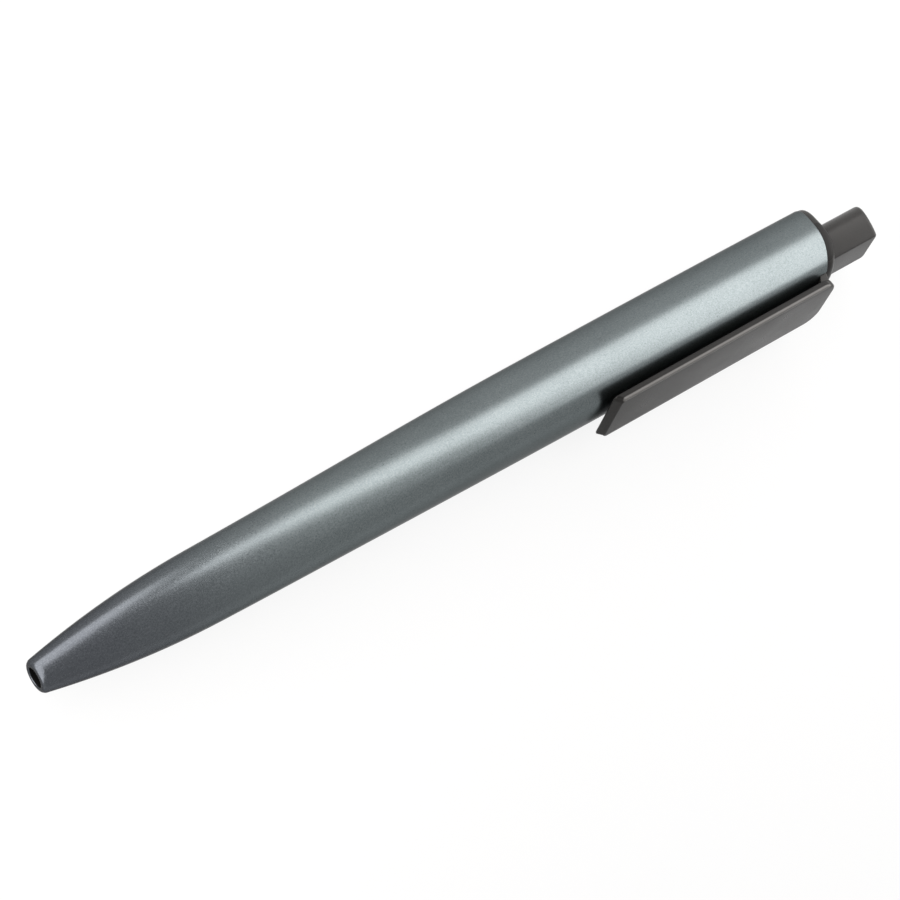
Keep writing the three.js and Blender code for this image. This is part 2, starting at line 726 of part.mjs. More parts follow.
function makeBall() {
  const ball = new THREE.SphereGeometry(BALL_RADIUS, 16, 10);
  return solid(ball.translate(TIP_SETBACK + BALL_RADIUS, 0, 0));
}

function makeAdapter() {
  const bore = POINT_TAIL_RADIUS + SLIDE_FIT;
  const flangeEnd = adapterStation + ADAPTER_FLANGE_LENGTH;
  const stem = tubeBore - SLIDE_FIT;
  return turned([
    [adapterStation, bore],
    [adapterStation, TUBE_RADIUS],
    [flangeEnd, TUBE_RADIUS],
    [flangeEnd, stem],
    [tubeStart + ADAPTER_STEM_LENGTH, stem],
    [tubeStart + ADAPTER_STEM_LENGTH, bore],
    [adapterStation, bore],
  ], SMALL_SEGMENTS);
}

function makeTube() {
  const tube = turned(tubeProfile(tubeStart, tubeEnd, tubeBore, TUBE_RADIUS), SMALL_SEGMENTS);
  const stops = [];
  const rootRadius = TUBE_RADIUS - TUBE_WALL / 2;
  for (let i = 0; i < STOP_COUNT; i += 1) {
    const middle = (i * 360) / STOP_COUNT;
    const section = [
      [STOP_STATION, rootRadius],
      [STOP_STATION, STOP_RADIUS],
      [STOP_STATION + STOP_LENGTH / 3, STOP_RADIUS],
      [STOP_STATION + STOP_LENGTH, rootRadius],
    ];
    const sides = [middle - STOP_HALF_ANGLE, middle + STOP_HALF_ANGLE];
    stops.push(lofted(sides.map((angle) => sectionAt(angle, section))));
  }
  return joined(tube, ...stops);
}

function makeInk() {
  return turned(barProfile(inkStart, inkStart + INK_LENGTH, tubeBore - SLIDE_FIT), SMALL_SEGMENTS);
}

function makeFollower() {
  const start = inkStart + INK_LENGTH + SLIDE_FIT;
  return turned(barProfile(start, start + FOLLOWER_LENGTH, tubeBore - SLIDE_FIT), SMALL_SEGMENTS);
}

function piece(name, form, look) {
  const { vertProperties, triVerts } = form.getMesh();
  const geometry = new THREE.BufferGeometry();
  geometry.setAttribute('position', new THREE.BufferAttribute(vertProperties, 3));
  geometry.setIndex(new THREE.BufferAttribute(triVerts, 1));
  geometry.computeVertexNormals();
  const mesh = new THREE.Mesh(geometry, new THREE.MeshStandardMaterial(materials[look]));
  mesh.name = name;
  return mesh;
}

const barrel = piece('barrel', makeBarrel(), 'paint');
const pen = new THREE.Group();
pen.add(
  barrel,
  piece('clip', makeClip(), 'darkPlastic'),
  piece('end_collar', makeCollar(), 'darkPlastic'),
  piece('push_button', makeButton(), 'darkPlastic'),
  piece('cam_sleeve', makeSleeve(), 'whitePlastic'),
  piece('cam_crown', makeCrown(), 'whitePlastic'),
  piece('cam_rotor', makeRotor(), 'whitePlastic'),
  piece('return_spring', makeSpring(), 'steel'),
  piece('refill_tube', makeTube(), 'tubePlastic'),
  piece('tip_adapter', makeAdapter(), 'whitePlastic'),
  piece('writing_tip', makePoint(), 'brass'),
  piece('writing_ball', makeBall(), 'steel'),
  piece('ink_column', makeInk(), 'ink'),
  piece('ink_follower', makeFollower(), 'grease'),
);

// How high the pen's axis lies above the surface when the pen is rolled about it.
function axisHeight(roll) {
  const position = barrel.geometry.attributes.position;
  let lowest = Infinity;
  for (let i = 0; i < position.count; i += 1) {
    const height = position.getY(i) * Math.sin(roll) + position.getZ(i) * Math.cos(roll);
    lowest = Math.min(lowest, height);
  }
  return -lowest;
}

// The pen comes to rest on a flat side of its rounded-triangle barrel, with the clip raised: of
// the rolls that turn the clip up by less than 45 degrees, the one with the lowest axis.
function restingRoll() {
  let [low, high] = [-Math.PI / 4, 0];
  while (high - low > 1e-7) {
    const third = (high - low) / 3;
    if (axisHeight(low + third) < axisHeight(high - third)) high -= third;
    else low += third;
  }
  return (low + high) / 2;
}

pen.rotation.x = restingRoll();

// The origin is under the middle of the pen, on the surface that it lies on.
const lyingPen = new THREE.Group();
lyingPen.add(pen);
const box = new THREE.Box3().setFromObject(lyingPen, true);
const middle = box.getCenter(new THREE.Vector3());
pen.position.set(-middle.x, -middle.y, -box.min.z);

export default lyingPen;
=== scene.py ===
# %% [markdown]
# # A pushbutton ballpoint pen
# The pen lies on a pale table with its tip drawn in. A slim barrel in satin metallic lacquer
# runs from the nose hole to a slanted rear rim. A dark collar closes the rim, a dark button
# with one flat side comes out of it, and a straight flat clip leaves the barrel by a short neck.
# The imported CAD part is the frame: it sets where each piece is and how it moves. This lesson
# dresses it in smooth surfaces, gives each one a finish, and lights and photographs it.

import json
from math import cos, pi, radians, sin

import bmesh
import bpy
from mathutils import Matrix, Vector


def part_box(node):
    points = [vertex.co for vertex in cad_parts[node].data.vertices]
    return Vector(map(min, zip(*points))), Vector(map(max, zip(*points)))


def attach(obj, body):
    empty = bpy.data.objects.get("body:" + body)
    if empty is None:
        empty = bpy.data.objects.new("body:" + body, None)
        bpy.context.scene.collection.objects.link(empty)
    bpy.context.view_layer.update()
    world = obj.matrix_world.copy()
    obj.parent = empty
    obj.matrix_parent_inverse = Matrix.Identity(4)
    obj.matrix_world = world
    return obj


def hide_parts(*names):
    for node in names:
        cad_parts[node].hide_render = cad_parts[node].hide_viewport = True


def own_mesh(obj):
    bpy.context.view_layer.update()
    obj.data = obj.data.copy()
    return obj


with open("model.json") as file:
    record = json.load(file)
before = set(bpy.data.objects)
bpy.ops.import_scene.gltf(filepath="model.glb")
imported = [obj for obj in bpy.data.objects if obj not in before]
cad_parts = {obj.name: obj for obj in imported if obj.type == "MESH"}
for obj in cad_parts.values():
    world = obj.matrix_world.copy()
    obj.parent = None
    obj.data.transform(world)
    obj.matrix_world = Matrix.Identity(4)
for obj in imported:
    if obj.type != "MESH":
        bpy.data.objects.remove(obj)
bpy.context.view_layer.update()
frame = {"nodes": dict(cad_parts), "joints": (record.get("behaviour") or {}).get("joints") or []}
joints = {joint["name"]: joint for joint in frame["joints"]}

# %% [markdown]
# ## The pen's own measures
# Everything on a pen is placed by its distance from the nose, so it is easiest to model it
# upright in its own frame: X runs from the nose to the button in millimetres, the clip is on
# the -Y side, and the axis is the line Y = Z = 0. One matrix then lays each finished mesh on the
# table, in metres. It could be typed in, but reading it from the frame keeps both in step: the
# clip's hinge gives the roll, and the rotor's hinge lies on the pen's axis.

# %% Lay the pen on the table
MILLIMETRE = 0.001
nose_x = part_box("barrel")[0].x
axis_y, axis_z = joints["rotor_index"]["pos_m"][1:]
hinge_axis = joints["clip_flex"]["axis"]
roll = Vector((hinge_axis[1], hinge_axis[2])).angle_signed(Vector((0, 1)))
PEN = (
    Matrix.Translation((nose_x, axis_y, axis_z))
    @ Matrix.Rotation(roll, 4, "X")
    @ Matrix.Scale(MILLIMETRE, 4)
)
print(f"the pen is rolled by {roll * 180 / pi:.2f} degrees")

# %% [markdown]
# ## Turned pieces
# Most of a pen is turned about one axis. A short chain of vertices is the half section, and the
# spin operator sweeps it round. Where the chain starts or ends on the axis, the swept copies
# fall on one point, so doubles are merged and the normals are worked out afresh.


# %% Turn a half section
def turned(profile, steps, closed=False):
    """Sweeps (station, radius) points once round the pen's axis."""
    bm = bmesh.new()
    chain = [bm.verts.new((station, radius, 0)) for station, radius in profile]
    followers = chain[1:] + (chain[:1] if closed else [])
    edges = [bm.edges.new(pair) for pair in zip(chain, followers)]
    bmesh.ops.spin(
        bm, geom=chain + edges, cent=(0, 0, 0), axis=(1, 0, 0), angle=2 * pi,
        steps=steps, use_merge=True, use_duplicate=False, dvec=(0, 0, 0),
    )
    bmesh.ops.remove_doubles(bm, verts=bm.verts, dist=1e-4)
    bmesh.ops.recalc_face_normals(bm, faces=bm.faces)
    return bm


def rounded(corner, before, after, radius, steps):
    """Points of a curve in place of a corner. It starts and ends one radius away from it."""
    corner, before, after = Vector(corner), Vector(before), Vector(after)
    start = corner + (before - corner).normalized() * radius
    end = corner + (after - corner).normalized() * radius
    points = []
    for i in range(steps + 1):
        t = i / steps
        point = start * (1 - t) ** 2 + corner * 2 * t * (1 - t) + end * t**2
        points.append(tuple(point))
    return points


# %% [markdown]
# ## From bmesh to a piece
# A finished mesh is laid on the table, rides on its body of the frame and hides the CAD node
# that it stands for; its material is given later. Its faces are smooth, and edges sharper than a
# limit are marked so that they stay crisp in the shading.

# %% Finish and cut pieces
SMOOTH_LIMIT = radians(32)


def finished(bm, name, body, node, sharp=SMOOTH_LIMIT):
    """Puts a mesh made in the pen's frame into the scene as a piece."""
    bmesh.ops.transform(bm, matrix=PEN, verts=bm.verts)
    mesh = bpy.data.meshes.new(name)
    bm.to_mesh(mesh)
    bm.free()
    for polygon in mesh.polygons:
        polygon.use_smooth = True
    mesh.set_sharp_from_angle(angle=sharp)
    piece = bpy.data.objects.new(name, mesh)
    bpy.context.scene.collection.objects.link(piece)
    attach(piece, body)
    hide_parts(node)
    print(name, len(mesh.polygons), "faces")
    return piece


def combined(bm, tool, operation):
    """Cuts a second mesh out of the first, or joins the two, with a Boolean modifier."""
    scratch = []
    for part in (bm, tool):
        mesh = bpy.data.meshes.new("scratch")
        part.to_mesh(mesh)
        part.free()
        scratch.append(bpy.data.objects.new("scratch", mesh))
        bpy.context.scene.collection.objects.link(scratch[-1])
    modifier = scratch[0].modifiers.new("Boolean", "BOOLEAN")
    modifier.operation = operation
    modifier.object = scratch[1]
    modifier.solver = "EXACT"
    graph = bpy.context.evaluated_depsgraph_get()
    result = bmesh.new()
    result.from_mesh(scratch[0].evaluated_get(graph).data)
    for part in scratch:
        mesh = part.data
        bpy.data.objects.remove(part)
        bpy.data.meshes.remove(mesh)
    return result


def block(low, high):
    """A box between two corners."""
    low, high = Vector(low), Vector(high)
    bm = bmesh.new()
    size = Matrix.Diagonal((*(high - low), 1))
    bmesh.ops.create_cube(bm, size=1, matrix=Matrix.Translation((low + high) / 2) @ size)
    return bm


# %% [markdown]
# ## Shader maths
# A finish is a handful of numbers that vary over the surface, and node links for plain sums
# are hard to read. A small class wraps a node's output, so that `grain * 0.2 + 0.4` adds the Math
# nodes itself. One method adds every other node: its settings first, then its sockets.


# %% Signals and finishes
class Signal:
    """A number or colour that varies over a surface: one output socket of a material."""

    def __init__(self, finish, socket):
        self.finish = finish
        self.socket = socket

    def math(self, operation, first, second):
        """One Math node on two signals or plain numbers."""
        settings = {"operation": operation}
        return self.finish.node("ShaderNodeMath", settings, {0: first, 1: second})

    def __add__(self, other):
        return self.math("ADD", self, other)

    def __radd__(self, other):
        return self.math("ADD", other, self)

    def __sub__(self, other):
        return self.math("SUBTRACT", self, other)

    def __rsub__(self, other):
        return self.math("SUBTRACT", other, self)

    def __mul__(self, other):
        return self.math("MULTIPLY", self, other)

    def __rmul__(self, other):
        return self.math("MULTIPLY", other, self)

    def above(self, limit):
        """1 where the signal is larger than a limit, else 0."""
        return self.math("GREATER_THAN", self, limit)


class Finish:
    """The node tree of a material, or of the world, under construction."""

    def __init__(self, material):
        self.material = material
        self.material.use_nodes = True
        self.tree = self.material.node_tree
        self.tree.nodes.clear()

    def node(self, kind, settings, sockets, output=0):
        """Adds a node: its settings first, then the values or links of its sockets."""
        made = self.tree.nodes.new(kind)
        for key, value in settings.items():
            setattr(made, key, value)
        for key, value in sockets.items():
            if isinstance(value, Signal):
                self.tree.links.new(value.socket, made.inputs[key])
            else:
                made.inputs[key].default_value = value
        return Signal(self, made.outputs[output])

    def along_pen(self):
        """Object coordinates in the pen's frame, in millimetres from the nose."""
        place = self.node("ShaderNodeTexCoord", {}, {}, output="Object")
        settings = {"vector_type": "TEXTURE"}
        sockets = {
            "Vector": place,
            "Location": PEN.translation,
            "Rotation": (roll, 0, 0),
            "Scale": (MILLIMETRE, MILLIMETRE, MILLIMETRE),
        }
        return self.node("ShaderNodeMapping", settings, sockets)

    def along(self, place, axis):
        """One coordinate of a place."""
        return self.node("ShaderNodeSeparateXYZ", {}, {0: place}, output=axis)

    def noise(self, place, scale, detail=2, roughness=0.5, stretch=(1, 1, 1)):
        """Cloudy noise between 0 and 1. It's finer along an axis with a larger stretch."""
        spread = self.node("ShaderNodeMapping", {}, {"Vector": place, "Scale": stretch})
        sockets = {"Vector": spread, "Scale": scale, "Detail": detail, "Roughness": roughness}
        return self.node("ShaderNodeTexNoise", {}, sockets)

    def fade(self, value, low, high):
        """A smooth rise from 0 to 1 between two limits."""
        settings = {"interpolation_type": "SMOOTHSTEP"}
        sockets = {"Value": value, "From Min": low, "From Max": high}
        return self.node("ShaderNodeMapRange", settings, sockets)

    def looked_at(self, seen, mirrored):
        """One share for the camera's own rays, another for mirrored and refracted ones, else 0."""
        share = self.node("ShaderNodeLightPath", {}, {}, output="Is Camera Ray") * seen
        for kind in ("Is Glossy Ray", "Is Transmission Ray"):
            ray = self.node("ShaderNodeLightPath", {}, {}, output=kind) * mirrored
            share = share.math("MAXIMUM", share, ray)
        return share

    def mix(self, share, first, second):
        """A colour between two colours."""
        settings = {"data_type": "RGBA"}
        return self.node("ShaderNodeMix", settings, {0: share, 6: first, 7: second}, output=2)

    def bump(self, height, distance, strength):
        """A normal that follows a height. The distance is in metres."""
        sockets = {"Height": height, "Distance": distance, "Strength": strength}
        return self.node("ShaderNodeBump", {}, sockets)

    def ended(self, shader, kind="ShaderNodeOutputMaterial"):
        """Ends the tree with a shader and returns the material or the world."""
        end = self.tree.nodes.new(kind)
        self.tree.links.new(shader.socket, end.inputs["Surface"])
        return self.material

    def surface(self, **sockets):
        """Ends the tree with one Principled shader and returns the material."""
        named = {key.replace("_", " ").title(): value for key, value in sockets.items()}
        named = {key.replace("Ior", "IOR"): value for key, value in named.items()}
        return self.ended(self.node("ShaderNodeBsdfPrincipled", {}, named))


def wear(piece, material):
    """Gives a piece one material."""
    piece.data.materials.clear()
    piece.data.materials.append(material)


# %% [markdown]
# ## The camera
# The pen is seen from above and from behind its nose, at about thirty centimetres, so the nose is
# drawn larger than the button. A long lens at that distance gives the same taper. The camera
# leans over its own axis too, which sets the pen on the picture's diagonal.

# %% Set up the camera
camera = bpy.data.objects.new("camera", bpy.data.cameras.new("camera"))
bpy.context.scene.collection.objects.link(camera)
camera.location = (-0.15123, 0.03986, 0.27994)
camera.rotation_euler = (radians(6.290), radians(-27.868), radians(-28.253))
camera.data.lens = 96.0
camera.data.sensor_width = 36.0
camera.data.clip_start = 0.01
bpy.context.scene.camera = camera

# %% [markdown]
# ## The barrel's form
# The real barrel is one shell: round and quickly swelling at the nose, then a long shallow curve
# to the rear, where its section has grown into a soft triangle with one side under the clip. Three
# radii describe the half section, and two gentle waves round the axis make the triangle. The
# section is turned first, and its vertices are then moved out by the waves, which keeps the
# surface as even as a turned one.

# %% The barrel's curves
REAR_RADIUS = 5.9
BODY_TAPER = 1.5
NOSE_RADIUS = 2.15
NOSE_LENGTH = 24
BARREL_LENGTH = 128.4
TRIANGLE = 0.5
OVAL = 0.15
SLANT = 0.42


def barrel_radius(station):
    """The turned radius, before the waves are added."""
    body = 1 - station / BARREL_LENGTH
    nose = max(0, 1 - station / NOSE_LENGTH)
    return REAR_RADIUS - BODY_TAPER * body**2 - (REAR_RADIUS - BODY_TAPER - NOSE_RADIUS) * nose**2


def ease(value, low, high):
    """A smooth rise from 0 to 1 between two limits."""
    share = min(1, max(0, (value - low) / (high - low)))
    return share * share * (3 - 2 * share)


def lobe(vertex, share):
    """Moves a vertex out to the soft triangle, whose corners point away from the clip's side."""
    across = Vector((-vertex.co.y, vertex.co.z))
    if across.length > 0:
        angle = Vector((1, 0)).angle_signed(across)
        wave = OVAL * cos(2 * angle) - TRIANGLE * cos(3 * angle)
        scale = 1 + share * wave / across.length
        vertex.co.y *= scale
        vertex.co.z *= scale


# %% [markdown]
# ## The barrel's section
# The chain starts at the nose hole, goes round the small nose edge and along the outside, turns
# over the rear rim and comes back inside: the bore for the collar, the seat of the cam sleeve, the
# long bore, the spring's chamber and the guide for the point. Being closed, it turns into a shell
# with a real wall everywhere, so the nose hole and the rim need no tricks.

# %% Turn the barrel
OUTER_STEPS = 70
ROUND = 128
CURVE_START = 0.42
CURVE_END = BARREL_LENGTH - 0.36
CROWDING = 1.3
NOSE_CORNER = 1.94
NOSE_ROUND = 0.26
HOLE_RADIUS = 1.33
HOLE_LENGTH = 3
HOLE_LIP = 0.14
GUIDE_BORE = 1.9
SPRING_SEAT = 8
SPRING_BORE = 2.75
SPRING_BORE_END = 12
LONG_BORE = 4
LONG_BORE_START = 28
LONG_BORE_MIDDLE = 64
SLEEVE_SEAT = 99.7
SLEEVE_BORE = 4.4
COLLAR_SEAT = 118
COLLAR_BORE = 4.75
RIM_ROUND = 0.22
RIM_LIP = 0.12
OUTSIDE_SHARE = 0.87
TRIANGLE_GROWS = (24, 76)
SLANT_GROWS = (96, 122)


def outer_curve():
    """The outside from the nose edge to the rim, with closer steps at the nose."""
    points = []
    for i in range(OUTER_STEPS + 1):
        share = (i / OUTER_STEPS) ** CROWDING
        station = CURVE_START + (CURVE_END - CURVE_START) * share
        points.append((station, barrel_radius(station)))
    return points


curve_foot = (CURVE_START, barrel_radius(CURVE_START))
nose_lip = rounded((0, HOLE_RADIUS), (1, HOLE_RADIUS), (0, NOSE_CORNER), HOLE_LIP, 4)
nose_edge = rounded((0, NOSE_CORNER), (0, HOLE_RADIUS), curve_foot, NOSE_ROUND, 5)
rim_edge, rim_hole = (BARREL_LENGTH, REAR_RADIUS), (BARREL_LENGTH, COLLAR_BORE)
rim_outer = rounded(rim_edge, (BARREL_LENGTH - 1, REAR_RADIUS), rim_hole, RIM_ROUND, 5)
rim_inner = rounded(rim_hole, rim_edge, (BARREL_LENGTH - 1, COLLAR_BORE), RIM_LIP, 3)
bore = [
    (COLLAR_SEAT, COLLAR_BORE), (COLLAR_SEAT, SLEEVE_BORE),
    (SLEEVE_SEAT, SLEEVE_BORE), (SLEEVE_SEAT, LONG_BORE),
    (LONG_BORE_MIDDLE, LONG_BORE), (LONG_BORE_START, LONG_BORE),
    (SPRING_BORE_END, SPRING_BORE), (SPRING_SEAT, SPRING_BORE), (SPRING_SEAT, GUIDE_BORE),
    (HOLE_LENGTH + GUIDE_BORE - HOLE_RADIUS, GUIDE_BORE), (HOLE_LENGTH, HOLE_RADIUS),
]
section = [*nose_lip, *nose_edge, *outer_curve(), *rim_outer, *rim_inner, *bore]
shell = turned(section, ROUND, closed=True)
for vertex in shell.verts:
    station = vertex.co.x
    radius = Vector((vertex.co.y, vertex.co.z)).length
    if radius > OUTSIDE_SHARE * barrel_radius(station):
        lobe(vertex, ease(station, *TRIANGLE_GROWS))
    vertex.co.x += SLANT * vertex.co.y * ease(station, *SLANT_GROWS)
print("barrel shell:", len(shell.verts), "vertices")

# %% [markdown]
# The clip's neck leaves the barrel through a slot in the rim. It is cut out of the finished shell
# with a Boolean, because a slot that is modelled into the turned grid would bend its smooth rows.
# The cutter ends well past the clip on one side and past the button behind.

# %% Cut the slot for the clip
NECK_HALF = 3.65
NECK_FRONT = 125.0
NECK_GAP = 0.04
SLOT_GAP = 0.12
PAST_CLIP = 12
PAST_BUTTON = 200


def neck_back(depth):
    """The neck's rear face lies along the slanted rim."""
    return BARREL_LENGTH + SLANT * depth - NECK_GAP


slot = block(
    (NECK_FRONT - SLOT_GAP, -PAST_CLIP, -NECK_HALF - SLOT_GAP),
    (PAST_BUTTON, 0, NECK_HALF + SLOT_GAP),
)
shell = combined(shell, slot, "DIFFERENCE")
barrel = finished(shell, "lacquered_barrel", "barrel", "barrel")

# %% [markdown]
# ## The button's outline
# Across the pen the button is a circle with one flat on the clip's side, and the corners between
# the two are slightly eased. A disc is cut with a plane and its two new corners are bevelled. The
# same outline, a little larger, later makes the hole in the collar, so the two always fit.


# %% A disc with one flat
BUTTON_RADIUS = 3.7
BUTTON_OFFSET = 0.85
BUTTON_FLAT = 3.34
FLAT_CORNER = 0.4
TOUCHING = 1e-4


def button_disc(station, grow=0.0):
    """The button's outline as a flat face across the pen, made larger all round if asked."""
    bm = bmesh.new()
    turn = Matrix.Translation((station, -BUTTON_OFFSET, 0)) @ Matrix.Rotation(pi / 2, 4, "Y")
    bmesh.ops.create_circle(
        bm, cap_ends=True, segments=96, radius=BUTTON_RADIUS + grow, matrix=turn
    )
    flat = -BUTTON_FLAT - grow
    bmesh.ops.bisect_plane(
        bm, geom=bm.verts[:] + bm.edges[:] + bm.faces[:], dist=1e-5,
        plane_co=(0, flat, 0), plane_no=(0, -1, 0), clear_outer=True,
    )
    ends = [v for v in bm.verts if abs(v.co.y - flat) < TOUCHING]
    bmesh.ops.bevel(
        bm, geom=ends, offset=FLAT_CORNER, offset_type="OFFSET", segments=5,
        profile=0.5, affect="VERTICES", material=-1,
    )
    return bm


def drawn(bm, length, direction=(1, 0, 0)):
    """Extrudes a flat face into a closed bar and returns its far face's vertices."""
    made = bmesh.ops.extrude_face_region(bm, geom=bm.faces[:], use_keep_orig=True)
    far = [v for v in made["geom"] if isinstance(v, bmesh.types.BMVert)]
    bmesh.ops.translate(bm, verts=far, vec=Vector(direction) * length)
    bmesh.ops.recalc_face_normals(bm, faces=bm.faces)
    return far


# %% [markdown]
# ## The button
# The disc is drawn out to a bar. Its end is slanted, less than the barrel's rim, and crowned from
# side to side. The edge round that end is rounded for the thumb: the end face is pushed out in
# six small steps, each a little narrower, along a quarter circle, and four more rings carry the
# crown to the middle. A bevel would fold over itself at the two tight corners. A blind hole in
# the hidden end takes the stem of the cam crown.

# %% Make the button
BUTTON_FRONT = 124.66
BUTTON_LENGTH = 15.15
THUMB_EDGE = 0.55
END_SLANT = 0.22
END_CROWN = 0.09
EDGE_STEPS = 6
CROWN_RINGS = (0.65, 0.45, 0.25, 0.05)
STEM_RADIUS = 2.05
STEM_START = 120
STEM_END = 135.1

button = button_disc(BUTTON_FRONT)
drawn(button, BUTTON_LENGTH)
cap = max(button.faces, key=lambda face: face.calc_center_median().x)
rings = [(BUTTON_RADIUS, -THUMB_EDGE)]
for i in range(1, EDGE_STEPS + 1):
    turn = pi / 2 * i / EDGE_STEPS
    rings.append((BUTTON_RADIUS - THUMB_EDGE * (1 - cos(turn)), THUMB_EDGE * (sin(turn) - 1)))
rings += [(BUTTON_RADIUS * share, 0) for share in CROWN_RINGS]
for i, (width, sunk) in enumerate(rings):
    if i > 0:
        cap = bmesh.ops.extrude_discrete_faces(button, faces=[cap])["faces"][0]
        shrink = width / rings[i - 1][0]
        centre = Matrix.Translation(-cap.calc_center_median())
        bmesh.ops.scale(button, verts=cap.verts, vec=(1, shrink, shrink), space=centre)
    for vertex in cap.verts:
        y, z = vertex.co.y, vertex.co.z
        vertex.co.x = BUTTON_FRONT + BUTTON_LENGTH + sunk + END_SLANT * y - END_CROWN * z * z
bmesh.ops.recalc_face_normals(button, faces=button.faces)
stem_hole = turned(
    [(STEM_START, 0), (STEM_START, STEM_RADIUS), (STEM_END, STEM_RADIUS), (STEM_END, 0)], 48
)
button = combined(button, stem_hole, "DIFFERENCE")
button = finished(
    button, "thumb_button", "button", "push_button", sharp=radians(40)
)

# %% [markdown]
# ## The collar
# The collar is a turned plug: a spigot inside the barrel, then outside a narrow band that carries
# the barrel's surface on, a rounded shoulder and a cone up to the button. It takes the barrel's
# triangle section where it meets the rim and fades to round on the cone, and it leans back with
# the rim, a little less towards the button. The hole for the button and the pocket for the clip's
# foot are cut last.

# %% Turn and cut the collar
RIM_GAP = 0.02
COLLAR_BAND = 1.15
COLLAR_RADIUS = 5.78
COLLAR_RISE = 3.15
SHOULDER_ROUND = 0.7
CONE_TOP = 2.8
CONE_SLANT = 0.32
CONE_STEPS = 10
LOBED_RADIUS = REAR_RADIUS - 0.3
SPIGOT_FRONT = 118.3
SPIGOT_RADIUS = 4.65
SPIGOT_CHAMFER = 0.25
COLLAR_LEANS = (118.6, 126)
TURNING_ERROR = 1e-3
BUTTON_GAP = 0.13
GUIDE_START = 110
GUIDE_LENGTH = 40
POCKET_REACH = 2.1
POCKET_HALF = 3.75
POCKET_DEPTH = 3.85

band_start = BARREL_LENGTH + RIM_GAP
band_end = (band_start + COLLAR_BAND, COLLAR_RADIUS)
top = (band_start + COLLAR_RISE, CONE_TOP)
shoulder = rounded(band_end, (band_start, COLLAR_RADIUS), top, SHOULDER_ROUND, 8)
foot = Vector(shoulder[-1])
cone = [foot.lerp(Vector(top), i / CONE_STEPS).to_tuple() for i in range(1, CONE_STEPS + 1)]
plug = turned(
    [(SPIGOT_FRONT, 0), (SPIGOT_FRONT, SPIGOT_RADIUS - SPIGOT_CHAMFER),
     (SPIGOT_FRONT + SPIGOT_CHAMFER, SPIGOT_RADIUS), (band_start, SPIGOT_RADIUS),
     (band_start, COLLAR_RADIUS), *shoulder, *cone, (band_start + COLLAR_RISE, 0)],
    ROUND,
)
for vertex in plug.verts:
    station = vertex.co.x
    radius = Vector((vertex.co.y, vertex.co.z)).length
    if station > band_start - TURNING_ERROR and radius > CONE_TOP:
        lobe(vertex, ease(radius, CONE_TOP, LOBED_RADIUS))
    climb = min(1, max(0, (station - band_start) / COLLAR_RISE))
    slant = SLANT + (CONE_SLANT - SLANT) * climb
    vertex.co.x += slant * vertex.co.y * ease(station, *COLLAR_LEANS)
guide_hole = button_disc(GUIDE_START, grow=BUTTON_GAP)
drawn(guide_hole, GUIDE_LENGTH)
plug = combined(plug, guide_hole, "DIFFERENCE")
pocket = block(
    (NECK_FRONT - POCKET_REACH, -PAST_CLIP, -POCKET_HALF),
    (BARREL_LENGTH, -POCKET_DEPTH, POCKET_HALF),
)
for vertex in pocket.verts:
    if vertex.co.x > NECK_FRONT:
        vertex.co.x += SLANT * vertex.co.y
plug = combined(plug, pocket, "DIFFERENCE")
collar = finished(plug, "domed_collar", "barrel", "end_collar")

# %% [markdown]
# ## The clip
# The clip is moulded in one: a flat blade with small front corners and larger rear ones, and a
# short wide neck that leans into it. The blade starts as one rectangle whose corners are
# bevelled in plan. Drawn to its thickness, its front end is sloped, so that a pocket's hem slides
# under it, and it gets a fine bevel along every edge: that is the thin bright line along the
# blade in the photograph.


# %% The blade
CLIP_FRONT = 85.5
CLIP_REAR = 126.1
CLIP_HALF = 4.9
CLIP_OUTER = 7.25
CLIP_THICKNESS = 1.2
FRONT_CORNER = 0.85
REAR_CORNER = 2.4
BLADE_EDGE = 0.3
END_SLOPE = 0.65
END_REACH = 1
LOOKS_ALONG = 0.9

blade = bmesh.new()
clip_middle = (CLIP_FRONT + CLIP_REAR) / 2
upright = Matrix.Translation((clip_middle, -CLIP_OUTER, 0)) @ Matrix.Rotation(pi / 2, 4, "X")
spread = Matrix.Diagonal((CLIP_REAR - CLIP_FRONT, CLIP_HALF * 2, 1, 1))
bmesh.ops.create_grid(blade, x_segments=1, y_segments=1, size=0.5, matrix=upright @ spread)
for corners, radius, steps in (
    ([v for v in blade.verts if v.co.x < clip_middle], FRONT_CORNER, 7),
    ([v for v in blade.verts if v.co.x > clip_middle], REAR_CORNER, 10),
):
    bmesh.ops.bevel(
        blade, geom=corners, offset=radius, offset_type="OFFSET", segments=steps,
        profile=0.5, affect="VERTICES", material=-1,
    )
inner = drawn(blade, CLIP_THICKNESS, (0, 1, 0))
for vertex in inner:
    if vertex.co.x < CLIP_FRONT + END_REACH:
        vertex.co.x -= END_SLOPE
flats = [face for face in blade.faces if abs(face.normal.y) > LOOKS_ALONG]
rims = {edge for face in flats for edge in face.edges}
bmesh.ops.bevel(
    blade, geom=list(rims), offset=BLADE_EDGE, offset_type="OFFSET", segments=4,
    profile=0.5, affect="EDGES", material=-1,
)
print("clip blade:", len(blade.faces), "faces")

# %% [markdown]
# The neck is drawn across the pen from its side view: straight in the slot, then a curve that
# leans forward into the blade. A tongue under it hooks behind the barrel's wall, and a low round
# rib under the front of the blade grips the pocket. Each is joined to the blade with a Boolean, so
# the clip stays one closed moulding.


# %% Neck, tongue and rib
def side_bar(outline, half):
    """Draws a side view, given as (station, depth) points, across the pen."""
    bm = bmesh.new()
    face = bm.faces.new([bm.verts.new((x, y, -half)) for x, y in outline])
    face.normal_update()
    drawn(bm, 2 * half, (0, 0, 1))
    return bm


